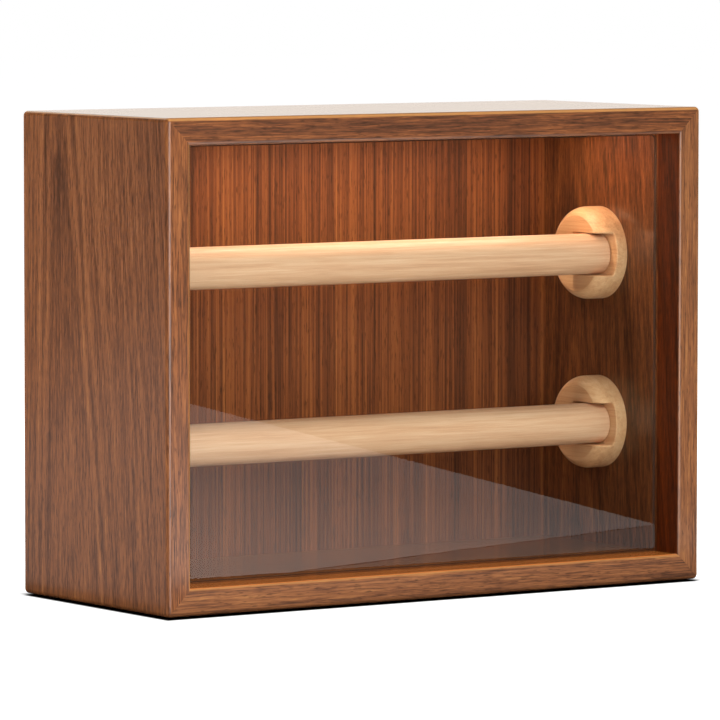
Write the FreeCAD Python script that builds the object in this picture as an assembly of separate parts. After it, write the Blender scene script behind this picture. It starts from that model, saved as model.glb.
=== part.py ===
import FreeCAD, Part
import math
import os

V = FreeCAD.Vector

# Watch display case: a mitred walnut box with a glass door, two rods in slotted brackets, and a light
# under the top board. Millimetres, +Z up. The front faces -Y and +X is on the right, seen from the front.
# The origin is at the middle of the footprint, on the surface that the case stands on.

# Case
case_width = 400.0
case_depth = 169.0
case_height = 301.0             # boards only, without the foot pads
board_thickness = 16.8
outer_edge_round = 3.0
inner_edge_round = 2.2          # front inner edge of the opening

# Foot pads
pad_diameter = 18.0
pad_thickness = 1.4
pad_inset = 26.0                # from the case's outer faces to the pad's centre

# Loose tongues across the mitres
spline_thickness = 3.0
spline_width = 11.0
spline_end_margin = 15.0        # from the front and back faces
spline_gap = 0.1

# Back panel, captured in a groove in all four boards
panel_thickness = 5.0
panel_setback = 147.5           # front face of the case to the panel's front face
panel_groove_depth = 6.0
panel_edge_gap = 0.5
panel_face_gap = 0.1

# Rods
rod_diameter = 26.3
rod_end_round = 1.2
rod_setback = 76.0              # front face of the case to the rods' axis
upper_rod_height = 206.6        # surface below the case to the rod's axis
lower_rod_height = 97.4
rod_gap = 0.3                   # rod to slot, all round

# Brackets
bracket_diameter = 59.6
bracket_face_diameter = 48.6
bracket_thickness = 19.3
bracket_rim_height = 10.0       # straight part of the rim, next to the side board
bracket_back_plate = 8.0        # wood left behind the slot
bracket_setback = 86.5          # front face of the case to the bracket's axis
slot_corner_round = 1.6
slot_mouth_round = 0.8

# What holds the brackets and the rods
magnet_diameter = 10.0
magnet_thickness = 3.0
magnet_gap = 0.05
screw_shank_diameter = 4.0
screw_head_diameter = 8.0
screw_head_height = 2.4
screw_length = 20.0
screw_recess_depth = 1.4        # cross recess
screw_gap = 0.05
pilot_reserve = 1.0             # hole beyond a screw's tip
dowel_diameter = 6.0
dowel_length = 14.0
dowel_offset = 16.0             # behind the bracket's axis
dowel_gap = 0.05

# Door
glass_thickness = 4.0
glass_setback = 22.4            # front face of the case to the glass
glass_corner_round = 3.0
glass_arris = 0.4
door_gap = 1.2                  # top, bottom and latch side
stile_width = 12.0
stile_thickness = 7.0
stile_wall_gap = 1.0
stile_groove_depth = 4.4
stile_front_round = 1.0
stile_back_round = 3.3
glass_groove_gap = 0.1
pivot_inset = 5.0               # stile's wall-side edge to the pivot axis
pivot_pin_diameter = 3.6
pivot_pin_grip = 8.0            # inside the stile
pivot_pin_reach = 6.0           # inside the bush
pivot_gap = 0.05
bush_diameter = 8.0
bush_length = 8.0
bush_flange_diameter = 10.4
bush_flange_thickness = 0.9
bush_fit_gap = 0.03

# Door catch and stop
catch_inset = 30.0              # opening's right side to the catch magnet's axis
catch_magnet_diameter = 8.0
catch_magnet_thickness = 4.0
keeper_length = 24.0
keeper_thickness = 0.5
stop_length = 26.0
stop_depth = 3.0
stop_height = 2.0
stop_gap = 0.3                  # glass to stop
stop_spacing = 36.0             # catch magnet to the stop's middle

# Light
led_setback = 80.0              # front face of the case to the channel
led_end_margin = 13.2           # opening's sides to the channel's end caps
channel_width = 16.0
channel_depth = 8.0
channel_wall = 1.0
channel_gap = 0.1
end_cap_thickness = 2.0
led_board_width = 10.0
led_board_thickness = 0.6
led_pitch = 16.6
led_chip_length = 3.5
led_chip_width = 2.8
led_chip_height = 1.2
diffuser_thickness = 1.5
led_screw_diameter = 3.0
led_screw_head_diameter = 5.6
led_screw_head_height = 1.5
led_screw_length = 7.0
led_screw_inset = 40.0          # channel's ends to its screws
lead_diameter = 2.4
lead_gap = 0.3
lead_inset = 9.0                # channel's left end to the lead
lead_bend_radius = 6.0

# Control unit behind the back panel
unit_width = 72.0
unit_height = 44.0
unit_depth = 14.0
unit_wall = 1.6
unit_drop = 24.0                # ceiling to the unit's top
unit_side_gap = 12.0            # left side board to the unit
unit_edge_round = 2.0
ear_width = 9.0
ear_height = 12.0
ear_thickness = 2.0
cover_lip = 1.2
cover_gap = 0.15
circuit_width = 22.0
circuit_height = 34.0
circuit_thickness = 1.2
circuit_standoff = 3.0
battery_width = 40.0
battery_height = 30.0
battery_thickness = 6.0
socket_width = 9.2
socket_length = 7.4
socket_height = 3.4
socket_wall = 0.4
socket_port_depth = 5.5
switch_width = 6.0
switch_height = 3.6
switch_plunger_diameter = 3.2
button_diameter = 8.0
button_flange_diameter = 10.4
button_flange_thickness = 1.2
button_rise = 1.1               # above the cover
button_travel = 0.6
button_gap = 0.3
small_screw_diameter = 2.6
small_screw_head_diameter = 4.8
small_screw_head_height = 1.6
housing_screw_length = 6.0
cover_screw_diameter = 2.0
cover_screw_head_diameter = 3.6
cover_screw_head_height = 1.2
cover_screw_length = 7.0
cover_post_diameter = 5.0

# Places that follow from the sizes above
half_width = case_width / 2
front_y = -case_depth / 2
back_y = case_depth / 2
case_bottom = pad_thickness
case_top = case_bottom + case_height
wall_x = half_width - board_thickness
floor_z = case_bottom + board_thickness
ceiling_z = case_top - board_thickness
panel_y = front_y + panel_setback
panel_back_y = panel_y + panel_thickness
rod_y = front_y + rod_setback
bracket_y = front_y + bracket_setback
rod_radius = rod_diameter / 2
slot_floor_x = wall_x - bracket_back_plate
rod_end_x = slot_floor_x - rod_gap
slot_back_y = rod_y + rod_radius + rod_gap
slot_half_height = rod_radius + rod_gap
glass_front_y = front_y + glass_setback
glass_back_y = glass_front_y + glass_thickness
glass_mid_y = glass_front_y + glass_thickness / 2
door_bottom = floor_z + door_gap
door_top = ceiling_z - door_gap
stile_left_x = -wall_x + stile_wall_gap
stile_right_x = stile_left_x + stile_width
pivot_x = stile_left_x + pivot_inset
catch_x = wall_x - catch_inset
led_front_y = front_y + led_setback
led_back_y = led_front_y + channel_width
led_mid_y = led_front_y + channel_width / 2
led_half_length = wall_x - led_end_margin
channel_half_length = led_half_length - end_cap_thickness
channel_top_z = ceiling_z + channel_depth
channel_web_z = channel_top_z - channel_wall
led_board_z = channel_web_z - led_board_thickness
lead_x = -channel_half_length + lead_inset
lead_z = led_board_z - lead_diameter / 2
lead_down_y = panel_back_y + unit_depth / 2
unit_left_x = -wall_x + unit_side_gap
unit_right_x = unit_left_x + unit_width
unit_top_z = ceiling_z - unit_drop
unit_bottom_z = unit_top_z - unit_height
unit_mid_z = unit_top_z - unit_height / 2
unit_back_y = panel_back_y + unit_depth
cover_inner_y = unit_back_y - unit_wall
circuit_x = unit_left_x + unit_wall + circuit_width / 2 + 1.0
circuit_y = panel_back_y + unit_wall + circuit_standoff
circuit_back_y = circuit_y + circuit_thickness
switch_z = unit_mid_z + 2.0
socket_bottom_z = unit_bottom_z
battery_x = unit_right_x - unit_wall - battery_width / 2 - 1.0

sides = (("left", -1), ("right", 1))
levels = (("upper", upper_rod_height), ("lower", lower_rod_height))

parts = {}


# General shapes

def box_between(x_low, x_high, y_low, y_high, z_low, z_high):
    return Part.makeBox(x_high - x_low, y_high - y_low, z_high - z_low, V(x_low, y_low, z_low))


def cylinder_from(point, direction, diameter, length):
    return Part.makeCylinder(diameter / 2, length, point, direction)


def edges_along(shape, direction, test=None):
    found = []
    for edge in shape.Edges:
        if edge.Length < 1e-6 or not isinstance(edge.Curve, Part.Line):
            continue
        start = edge.Vertexes[0].Point
        end = edge.Vertexes[-1].Point
        run = end.sub(start)
        if run.Length < 1e-6 or abs(run.normalize().dot(direction)) < 0.999:
            continue
        if test is None or test(edge.CenterOfMass):
            found.append(edge)
    return found


def rounded(shape, radius, direction, test=None):
    return shape.makeFillet(radius, edges_along(shape, direction, test))


def near(a, b):
    return abs(a - b) < 1e-3


def pointed_shank(start, direction, diameter, length):
    # The last diameter's length tapers to a blunt point.
    straight = length - diameter
    shank = Part.makeCylinder(diameter / 2, straight, start, direction)
    tip_start = start.add(V(direction).multiply(straight))
    return shank.fuse(Part.makeCone(diameter / 2, diameter * 0.15, diameter, tip_start, direction))


def countersunk_screw(head_centre, direction, shank, head, head_height, length, recess=0.0):
    # The head's flat top is at head_centre and the shank points along direction.
    cone = Part.makeCone(head / 2, shank / 2, head_height, head_centre, direction)
    screw = cone.fuse(pointed_shank(head_centre, direction, shank, length)).removeSplitter()
    if recess > 0:
        slot = cross_recess(head_centre, direction, head * 0.55, recess)
        screw = screw.cut(slot)
    return screw


def cross_recess(centre, direction, width, depth):
    # Two crossed bars sunk into a screw's head, along direction.
    blade = width * 0.25
    bar = Part.makeBox(width, blade, depth, V(-width / 2, -blade / 2, 0))
    other = Part.makeBox(blade, width, depth, V(-blade / 2, -width / 2, 0))
    cross = bar.fuse(other)
    cross.Placement = FreeCAD.Placement(centre, FreeCAD.Rotation(V(0, 0, 1), direction))
    return cross


def pan_screw(seat, direction, shank, head, head_height, length):
    # The head stands on the seat and the shank points along direction.
    back = V(direction).multiply(-1)
    cap = Part.makeCylinder(head / 2, head_height, seat, back)
    rim = [edge for edge in cap.Edges if near(edge.CenterOfMass.sub(seat).Length, head_height)]
    cap = cap.makeFillet(head_height * 0.4, rim)
    top = seat.add(V(back).multiply(head_height))
    screw = cap.fuse(pointed_shank(seat, direction, shank, length)).removeSplitter()
    return screw.cut(cross_recess(top, direction, head * 0.5, head_height * 0.5))


# Case boards

def case_shell():
    outer = box_between(-half_width, half_width, front_y, back_y, case_bottom, case_top)
    outer = outer.makeFillet(outer_edge_round, outer.Edges)
    beyond = 1.0
    opening = box_between(-wall_x, wall_x, front_y - beyond, back_y + beyond, floor_z, ceiling_z)
    shell = outer.cut(opening)

    def at_front_opening(centre):
        inside_x = abs(centre.x) < wall_x + 1e-3
        inside_z = floor_z - 1e-3 < centre.z < ceiling_z + 1e-3
        return near(centre.y, front_y) and inside_x and inside_z

    edges = edges_along(shell, V(1, 0, 0), at_front_opening)
    edges += edges_along(shell, V(0, 0, 1), at_front_opening)
    return shell.makeFillet(inner_edge_round, edges)


def panel_groove():
    return box_between(-wall_x - panel_groove_depth, wall_x + panel_groove_depth,
                       panel_y - panel_face_gap, panel_back_y + panel_face_gap,
                       floor_z - panel_groove_depth, ceiling_z + panel_groove_depth)


def spline_block(side, level_sign, gap):
    # A flat bar across the mitre, halfway through the boards.
    length = case_depth - 2 * spline_end_margin + 2 * gap
    width = spline_width + 2 * gap
    thickness = spline_thickness + 2 * gap
    bar = Part.makeBox(width, length, thickness, V(-width / 2, -length / 2, -thickness / 2))
    middle_x = side * (half_width - board_thickness / 2)
    middle_z = (case_top + case_bottom) / 2 + level_sign * (case_height - board_thickness) / 2
    angle = 45 * side * level_sign
    bar.Placement = FreeCAD.Placement(V(middle_x, 0, middle_z), FreeCAD.Rotation(V(0, 1, 0), angle))
    return bar


def led_groove():
    return box_between(-led_half_length - channel_gap, led_half_length + channel_gap,
                       led_front_y - channel_gap, led_back_y + channel_gap,
                       ceiling_z - 1.0, channel_top_z + channel_gap)


def lead_groove():
    half = lead_diameter / 2 + lead_gap
    return box_between(lead_x - half, lead_x + half, led_mid_y, back_y - board_thickness / 4,
                       ceiling_z - 1.0, lead_z + half)


def bush_hole(end_sign):
    # end_sign is +1 in the top board and -1 in the bottom board.
    start_z = ceiling_z if end_sign > 0 else floor_z
    hole_diameter = bush_diameter + 2 * bush_fit_gap
    return cylinder_from(V(pivot_x, glass_mid_y, start_z - end_sign * 0.5), V(0, 0, end_sign),
                         hole_diameter, bush_length + bush_fit_gap + 0.5)


def catch_hole():
    return cylinder_from(V(catch_x, glass_mid_y, ceiling_z - 0.5), V(0, 0, 1),
                         catch_magnet_diameter + 2 * magnet_gap,
                         catch_magnet_thickness + magnet_gap + 0.5)


def led_screw_places():
    spread = channel_half_length - led_screw_inset
    return [V(-spread, led_mid_y, channel_web_z), V(spread, led_mid_y, channel_web_z)]


def side_screw_hole(side, height):
    # Pilot hole of a bracket's screw, in the side board.
    reach = screw_length - bracket_back_plate + pilot_reserve
    return cylinder_from(V(side * (wall_x - 0.5), rod_y, height), V(side, 0, 0),
                         screw_shank_diameter + 2 * screw_gap, reach + 0.5)


def side_dowel_hole(side, height):
    depth = dowel_length / 2 + 0.5
    return cylinder_from(V(side * (wall_x - 0.5), bracket_y + dowel_offset, height), V(side, 0, 0),
                         dowel_diameter + 2 * dowel_gap, depth + 0.5)


def board_wedge(points):
    corners = [V(x, front_y - 1, z) for x, z in points]
    face = Part.Face(Part.makePolygon(corners + corners[:1]))
    return face.extrude(V(0, case_depth + 2, 0))


def make_boards():
    shell = case_shell()
    cutters = [panel_groove(), led_groove(), lead_groove(), bush_hole(1), bush_hole(-1), catch_hole()]
    for name, side in sides:
        for level_sign in (-1, 1):
            cutters.append(spline_block(side, level_sign, spline_gap))
        for level, height in levels:
            cutters.append(side_screw_hole(side, height))
            cutters.append(side_dowel_hole(side, height))
    for place in led_screw_places():
        cutters.append(cylinder_from(place, V(0, 0, 1), led_screw_diameter + 2 * screw_gap,
                                     led_screw_length + pilot_reserve))
    shell = shell.cut(cutters)
    reach = board_thickness + 2.0
    inner_low = (-wall_x, floor_z)
    inner_high = (wall_x, ceiling_z)
    top = [(inner_low[0], inner_high[1]), inner_high,
           (wall_x + reach, ceiling_z + reach), (-wall_x - reach, ceiling_z + reach)]
    bottom = [inner_low, (inner_high[0], inner_low[1]),
              (wall_x + reach, floor_z - reach), (-wall_x - reach, floor_z - reach)]
    right = [(wall_x, floor_z), inner_high,
             (wall_x + reach, ceiling_z + reach), (wall_x + reach, floor_z - reach)]
    left = [(-x, z) for x, z in right]
    parts["top_board"] = shell.common(board_wedge(top))
    parts["bottom_board"] = shell.common(board_wedge(bottom))
    parts["side_board_right"] = shell.common(board_wedge(right))
    parts["side_board_left"] = shell.common(board_wedge(left))


def make_splines():
    for name, side in sides:
        parts["corner_spline_top_" + name] = spline_block(side, 1, 0.0)
        parts["corner_spline_bottom_" + name] = spline_block(side, -1, 0.0)


def make_back_panel():
    reach = panel_groove_depth - panel_edge_gap
    panel = box_between(-wall_x - reach, wall_x + reach, panel_y, panel_back_y,
                        floor_z - reach, ceiling_z + reach)
    half = lead_diameter / 2 + lead_gap
    notch = box_between(lead_x - half, lead_x + half, panel_y - 1, panel_back_y + 1,
                        lead_z - half, ceiling_z + reach + 1)
    holes = [notch]
    for place in housing_screw_places():
        reach = housing_screw_length - ear_thickness + pilot_reserve / 2
        holes.append(cylinder_from(V(place.x, panel_back_y + 1, place.z), V(0, -1, 0),
                                   small_screw_diameter + 2 * screw_gap, reach + 1))
    parts["back_panel"] = panel.cut(holes)


def make_foot_pads():
    for name, side in sides:
        for depth_name, sign in (("front", -1), ("back", 1)):
            centre = V(side * (half_width - pad_inset), sign * (case_depth / 2 - pad_inset), 0)
            pad = cylinder_from(centre, V(0, 0, 1), pad_diameter, pad_thickness)
            parts["foot_pad_" + depth_name + "_" + name] = pad


# Brackets and rods

def bracket_disc():
    # Revolved about X, with its back on the plane x = 0 and its face towards +X.
    base = bracket_diameter / 2
    face = bracket_face_diameter / 2
    rise = bracket_thickness - bracket_rim_height
    drop = base - face
    radius = (rise * rise + drop * drop) / (2 * drop)
    half_angle = math.asin(rise / radius) / 2
    middle = V(bracket_rim_height + radius * math.sin(half_angle), 0,
               base - radius + radius * math.cos(half_angle))
    rim = V(bracket_rim_height, 0, base)
    face_edge = V(bracket_thickness, 0, face)
    profile = Part.Wire([
        Part.makeLine(V(0, 0, 0), V(0, 0, base)),
        Part.makeLine(V(0, 0, base), rim),
        Part.Arc(rim, middle, face_edge).toShape(),
        Part.makeLine(face_edge, V(bracket_thickness, 0, 0)),
        Part.makeLine(V(bracket_thickness, 0, 0), V(0, 0, 0))])
    return Part.Face(profile).revolve(V(0, 0, 0), V(1, 0, 0), 360)


def slot_cutter():
    # In the disc's own frame: open towards the face and the front, closed behind the rod.
    front = bracket_y - front_y
    back = slot_back_y - bracket_y
    cutter = box_between(bracket_back_plate, bracket_thickness + 5, -front, back,
                         -slot_half_height, slot_half_height)
    edges = edges_along(cutter, V(0, 1, 0), lambda c: near(c.x, bracket_back_plate))
    edges += edges_along(cutter, V(1, 0, 0), lambda c: near(c.y, back))
    edges += edges_along(cutter, V(0, 0, 1), lambda c: near(c.x, bracket_back_plate) and near(c.y, back))
    return cutter.makeFillet(slot_corner_round, edges)


def slot_mouth_edges(disc):
    # Where the slot's long sides and its back come out through the face and the rim.
    back = slot_back_y - bracket_y
    straight_half = slot_half_height - slot_corner_round
    found = []
    for edge in disc.Edges:
        box = edge.BoundBox
        on_side = near(box.ZMin, box.ZMax) and near(abs(box.ZMin), slot_half_height)
        on_back = near(box.YMin, box.YMax) and near(box.YMin, back)
        outside = box.XMax > bracket_back_plate + slot_corner_round + 1e-3
        inner = near(box.YMin, box.YMax) and near(box.ZMin, box.ZMax)
        if outside and not inner and (on_side or (on_back and box.ZMax < straight_half + 1e-3)):
            found.append(edge)
        elif near(box.XMin, bracket_thickness) and near(box.XMax, bracket_thickness):
            if abs(edge.CenterOfMass.z) < slot_half_height and box.DiagonalLength < 2 * slot_corner_round:
                found.append(edge)
    return found


def bracket_shape():
    disc = bracket_disc().cut(slot_cutter())
    disc = disc.makeFillet(slot_mouth_round, slot_mouth_edges(disc))
    axis_y = rod_y - bracket_y
    hole = cylinder_from(V(-1, axis_y, 0), V(1, 0, 0), screw_shank_diameter + 2 * screw_gap,
                         bracket_back_plate + 2)
    sink = Part.makeCone(screw_shank_diameter / 2 + screw_gap, screw_head_diameter / 2 + screw_gap,
                         screw_head_height, V(bracket_back_plate - screw_head_height, axis_y, 0), V(1, 0, 0))
    dowel = cylinder_from(V(-1, dowel_offset, 0), V(1, 0, 0), dowel_diameter + 2 * dowel_gap,
                          dowel_length / 2 + 1.5)
    return disc.cut([hole, sink, dowel])


def placed_on_wall(shape, side, height):
    # The same piece serves both walls: on the right one it is turned upside down about the Y axis,
    # so that it faces -X and its slot still opens to the front.
    piece = shape.copy()
    if side > 0:
        piece.rotate(V(0, 0, 0), V(0, 1, 0), 180)
    piece.translate(V(side * wall_x, bracket_y, height))
    return piece


def make_brackets():
    shape = bracket_shape()
    screws = []
    dowels = []
    for side_name, side in sides:
        for level, height in levels:
            parts["bracket_" + level + "_" + side_name] = placed_on_wall(shape, side, height)
            head = V(side * slot_floor_x, rod_y, height)
            screws.append(countersunk_screw(head, V(side, 0, 0), screw_shank_diameter,
                                            screw_head_diameter, screw_head_height, screw_length,
                                            screw_recess_depth))
            start = V(side * (wall_x - dowel_length / 2), bracket_y + dowel_offset, height)
            dowels.append(cylinder_from(start, V(side, 0, 0), dowel_diameter, dowel_length))
    parts["bracket_screws"] = Part.makeCompound(screws)
    parts["bracket_dowels"] = Part.makeCompound(dowels)


def make_rods():
    for level, height in levels:
        rod = cylinder_from(V(-rod_end_x, rod_y, height), V(1, 0, 0), rod_diameter, 2 * rod_end_x)
        rims = [edge for edge in rod.Edges if isinstance(edge.Curve, Part.Circle)]
        rod = rod.makeFillet(rod_end_round, rims)
        magnets = []
        for side_name, side in sides:
            mouth = V(side * rod_end_x, rod_y, height)
            pocket = cylinder_from(mouth, V(-side, 0, 0), magnet_diameter + 2 * magnet_gap,
                                   magnet_thickness + magnet_gap)
            rod = rod.cut(pocket)
            magnets.append(cylinder_from(mouth, V(-side, 0, 0), magnet_diameter, magnet_thickness))
        parts[level + "_rod"] = rod
        parts[level + "_rod_magnets"] = Part.makeCompound(magnets)


# Door

def make_glass():
    left = stile_right_x - stile_groove_depth
    right = wall_x - door_gap
    glass = box_between(left, right, glass_front_y, glass_back_y, door_bottom, door_top)
    glass = rounded(glass, glass_corner_round, V(0, 1, 0), lambda c: near(c.x, right))
    rim = [edge for edge in glass.Edges if near(edge.CenterOfMass.y, glass_front_y)
           or near(edge.CenterOfMass.y, glass_back_y)]
    parts["door_glass"] = glass.makeChamfer(glass_arris, rim)


def make_stile():
    half = stile_thickness / 2
    stile = box_between(stile_left_x, stile_right_x, glass_mid_y - half, glass_mid_y + half,
                        door_bottom, door_top)
    stile = rounded(stile, stile_back_round, V(0, 0, 1), lambda c: near(c.x, stile_left_x))
    stile = rounded(stile, stile_front_round, V(0, 0, 1), lambda c: near(c.x, stile_right_x))
    groove = box_between(stile_right_x - stile_groove_depth - glass_groove_gap, stile_right_x + 1,
                         glass_front_y - glass_groove_gap, glass_back_y + glass_groove_gap,
                         door_bottom - 1, door_top + 1)
    stile = stile.cut(groove)
    for end_z, inward in ((door_bottom, 1), (door_top, -1)):
        start = V(pivot_x, glass_mid_y, end_z - inward)
        hole = cylinder_from(start, V(0, 0, inward), pivot_pin_diameter + 0.02, pivot_pin_grip + 1.0)
        stile = stile.cut(hole)
    parts["door_stile"] = stile


def make_pivots():
    for name, end_sign, wall_z, door_z in (("upper", 1, ceiling_z, door_top),
                                           ("lower", -1, floor_z, door_bottom)):
        outward = V(0, 0, end_sign)
        pin_start = V(pivot_x, glass_mid_y, door_z - end_sign * pivot_pin_grip)
        pin_length = pivot_pin_grip + door_gap + pivot_pin_reach
        parts["pivot_pin_" + name] = cylinder_from(pin_start, outward, pivot_pin_diameter, pin_length)
        flange_start = V(pivot_x, glass_mid_y, wall_z - end_sign * bush_flange_thickness)
        flange = cylinder_from(flange_start, outward, bush_flange_diameter, bush_flange_thickness)
        sleeve = cylinder_from(V(pivot_x, glass_mid_y, wall_z), outward, bush_diameter, bush_length)
        bore = cylinder_from(flange_start.sub(outward), outward, pivot_pin_diameter + 2 * pivot_gap,
                             1.0 + bush_flange_thickness + pivot_pin_reach + 0.5)
        parts["pivot_bush_" + name] = flange.fuse(sleeve).removeSplitter().cut(bore)


def make_catch():
    parts["catch_magnet"] = cylinder_from(V(catch_x, glass_mid_y, ceiling_z), V(0, 0, 1),
                                          catch_magnet_diameter, catch_magnet_thickness)
    parts["keeper_strip"] = box_between(catch_x - keeper_length / 2, catch_x + keeper_length / 2,
                                        glass_front_y + glass_arris, glass_back_y - glass_arris,
                                        door_top, door_top + keeper_thickness)
    stop_x = catch_x - stop_spacing
    stop = box_between(stop_x - stop_length / 2, stop_x + stop_length / 2,
                       glass_back_y + stop_gap, glass_back_y + stop_gap + stop_depth,
                       ceiling_z - stop_height, ceiling_z)
    parts["door_stop"] = rounded(stop, stop_height * 0.4, V(1, 0, 0),
                                 lambda c: near(c.z, ceiling_z - stop_height))


# Light

def make_channel():
    outer = box_between(-channel_half_length, channel_half_length, led_front_y, led_back_y,
                        ceiling_z, channel_top_z)
    inner = box_between(-channel_half_length - 1, channel_half_length + 1,
                        led_front_y + channel_wall, led_back_y - channel_wall,
                        ceiling_z - 1, channel_web_z)
    channel = outer.cut(inner)
    half = lead_diameter / 2 + lead_gap
    lead_hole = box_between(lead_x - half, lead_x + half, led_mid_y, led_back_y + 1,
                            lead_z - half, channel_web_z)
    holes = [lead_hole]
    for place in led_screw_places():
        holes.append(cylinder_from(place.sub(V(0, 0, 1)), V(0, 0, 1),
                                   led_screw_diameter + 2 * screw_gap, channel_wall + 2))
    parts["led_channel"] = channel.cut(holes)
    for name, side in sides:
        low = min(side * channel_half_length, side * led_half_length)
        cap = box_between(low, low + end_cap_thickness, led_front_y, led_back_y, ceiling_z, channel_top_z)
        parts["led_end_cap_" + name] = rounded(cap, channel_wall, V(1, 0, 0),
                                               lambda c: near(c.z, channel_top_z))


def make_led_strip():
    half = led_board_width / 2
    board = box_between(-channel_half_length + 1, channel_half_length - 1,
                        led_mid_y - half, led_mid_y + half, led_board_z, channel_web_z)
    places = led_screw_places()
    for place in places:
        board = board.cut(cylinder_from(place.sub(V(0, 0, 5)), V(0, 0, 1),
                                        led_screw_head_diameter + 1.0, 10))
    parts["led_board"] = board
    chips = []
    usable = channel_half_length - lead_inset - led_pitch / 2
    count = int(2 * usable / led_pitch)
    for index in range(count + 1):
        x = (index - count / 2) * led_pitch
        if any(abs(x - place.x) < led_screw_head_diameter / 2 + led_chip_length for place in places):
            continue
        chips.append(box_between(x - led_chip_length / 2, x + led_chip_length / 2,
                                 led_mid_y - led_chip_width / 2, led_mid_y + led_chip_width / 2,
                                 led_board_z - led_chip_height, led_board_z))
    parts["led_chips"] = Part.makeCompound(chips)
    gap = channel_gap
    diffuser = box_between(-channel_half_length + gap, channel_half_length - gap,
                           led_front_y + channel_wall + gap, led_back_y - channel_wall - gap,
                           ceiling_z, ceiling_z + diffuser_thickness)
    parts["led_diffuser"] = diffuser
    screws = []
    for place in places:
        screws.append(pan_screw(place, V(0, 0, 1), led_screw_diameter, led_screw_head_diameter,
                                led_screw_head_height, led_screw_length))
    parts["led_screws"] = Part.makeCompound(screws)


def make_lead():
    radius = lead_bend_radius
    start = V(lead_x, led_mid_y + 1, lead_z)
    bend_start = V(lead_x, lead_down_y - radius, lead_z)
    centre = V(lead_x, lead_down_y - radius, lead_z - radius)
    middle = centre.add(V(0, radius * math.sin(math.pi / 4), radius * math.cos(math.pi / 4)))
    bend_end = V(lead_x, lead_down_y, lead_z - radius)
    end = V(lead_x, lead_down_y, unit_top_z - unit_wall - 2)
    path = Part.Wire([Part.makeLine(start, bend_start),
                      Part.Arc(bend_start, middle, bend_end).toShape(),
                      Part.makeLine(bend_end, end)])
    section = Part.Wire([Part.makeCircle(lead_diameter / 2, start, V(0, 1, 0))])
    lead = path.makePipeShell([section], True, False)
    print("lead volume", round(lead.Volume, 1), "section times length",
          round(math.pi * lead_diameter ** 2 / 4 * path.Length, 1), "bend radius", radius)
    parts["led_lead"] = lead


# Control unit

def housing_screw_places():
    middle = ear_width / 2 + 0.5
    return [V(unit_left_x - middle + 1, 0, unit_mid_z), V(unit_right_x + middle - 1, 0, unit_mid_z)]


def cover_screw_place():
    # The post sinks into both walls of the corner.
    inset = unit_wall + cover_post_diameter * 0.3
    return V(unit_right_x - inset, 0, unit_top_z - inset)


def make_housing():
    outer = box_between(unit_left_x, unit_right_x, panel_back_y, cover_inner_y,
                        unit_bottom_z, unit_top_z)
    outer = rounded(outer, unit_edge_round, V(0, 1, 0))
    inner = box_between(unit_left_x + unit_wall, unit_right_x - unit_wall,
                        panel_back_y + unit_wall, unit_back_y,
                        unit_bottom_z + unit_wall, unit_top_z - unit_wall)
    housing = outer.cut(inner)
    for place in housing_screw_places():
        ear = box_between(place.x - ear_width / 2, place.x + ear_width / 2,
                          panel_back_y, panel_back_y + ear_thickness,
                          place.z - ear_height / 2, place.z + ear_height / 2)
        housing = housing.fuse(ear.cut(outer))
    for x in (circuit_x - circuit_width / 4, circuit_x + circuit_width / 4):
        post = cylinder_from(V(x, panel_back_y + unit_wall, unit_mid_z), V(0, 1, 0), 4.0, circuit_standoff)
        housing = housing.fuse(post)
    place = cover_screw_place()
    post = cylinder_from(V(place.x, panel_back_y + unit_wall, place.z), V(0, 1, 0),
                         cover_post_diameter, cover_inner_y - panel_back_y - unit_wall)
    housing = housing.fuse(post).removeSplitter()
    holes = []
    for place in housing_screw_places():
        holes.append(cylinder_from(V(place.x, panel_back_y - 1, place.z), V(0, 1, 0),
                                   small_screw_diameter + 2 * screw_gap, ear_thickness + 2))
    place = cover_screw_place()
    holes.append(cylinder_from(V(place.x, cover_inner_y + 1, place.z), V(0, -1, 0),
                               cover_screw_diameter + 2 * screw_gap, cover_screw_length))
    holes.append(cylinder_from(V(lead_x, lead_down_y, unit_top_z - unit_wall - 1), V(0, 0, 1),
                               lead_diameter + 2 * lead_gap, unit_wall + 2))
    holes.append(socket_block(cover_gap, unit_wall + 1))
    parts["control_housing"] = housing.cut(holes)


def make_cover():
    cover = box_between(unit_left_x, unit_right_x, cover_inner_y, unit_back_y, unit_bottom_z, unit_top_z)
    cover = rounded(cover, unit_edge_round, V(0, 1, 0))
    inset = unit_wall + cover_gap
    lip_outer = box_between(unit_left_x + inset, unit_right_x - inset,
                            cover_inner_y - cover_lip, cover_inner_y,
                            unit_bottom_z + inset, unit_top_z - inset)
    lip_inner = box_between(unit_left_x + inset + 1, unit_right_x - inset - 1,
                            cover_inner_y - cover_lip - 1, cover_inner_y,
                            unit_bottom_z + inset + 1, unit_top_z - inset - 1)
    lip = lip_outer.cut(lip_inner)
    place = cover_screw_place()
    lip = lip.cut(cylinder_from(V(place.x, cover_inner_y + 1, place.z), V(0, -1, 0),
                                cover_post_diameter + 1.0, cover_lip + 3))
    cover = cover.fuse(lip)
    button_hole = cylinder_from(V(circuit_x, cover_inner_y - 1, switch_z), V(0, 1, 0),
                                button_diameter + 2 * button_gap, unit_wall + 2)
    screw_hole = cylinder_from(V(place.x, cover_inner_y - 1, place.z), V(0, 1, 0),
                               cover_screw_diameter + 2 * screw_gap, unit_wall + 2)
    sink = Part.makeCone(cover_screw_diameter / 2 + screw_gap, cover_screw_head_diameter / 2 + screw_gap,
                         cover_screw_head_height,
                         V(place.x, unit_back_y - cover_screw_head_height, place.z), V(0, 1, 0))
    parts["control_cover"] = cover.cut([button_hole, screw_hole, sink])


def socket_block(gap, below):
    return box_between(circuit_x - socket_width / 2 - gap, circuit_x + socket_width / 2 + gap,
                       circuit_back_y - gap, circuit_back_y + socket_height + gap,
                       socket_bottom_z - below, socket_bottom_z + socket_length + gap)


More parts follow.
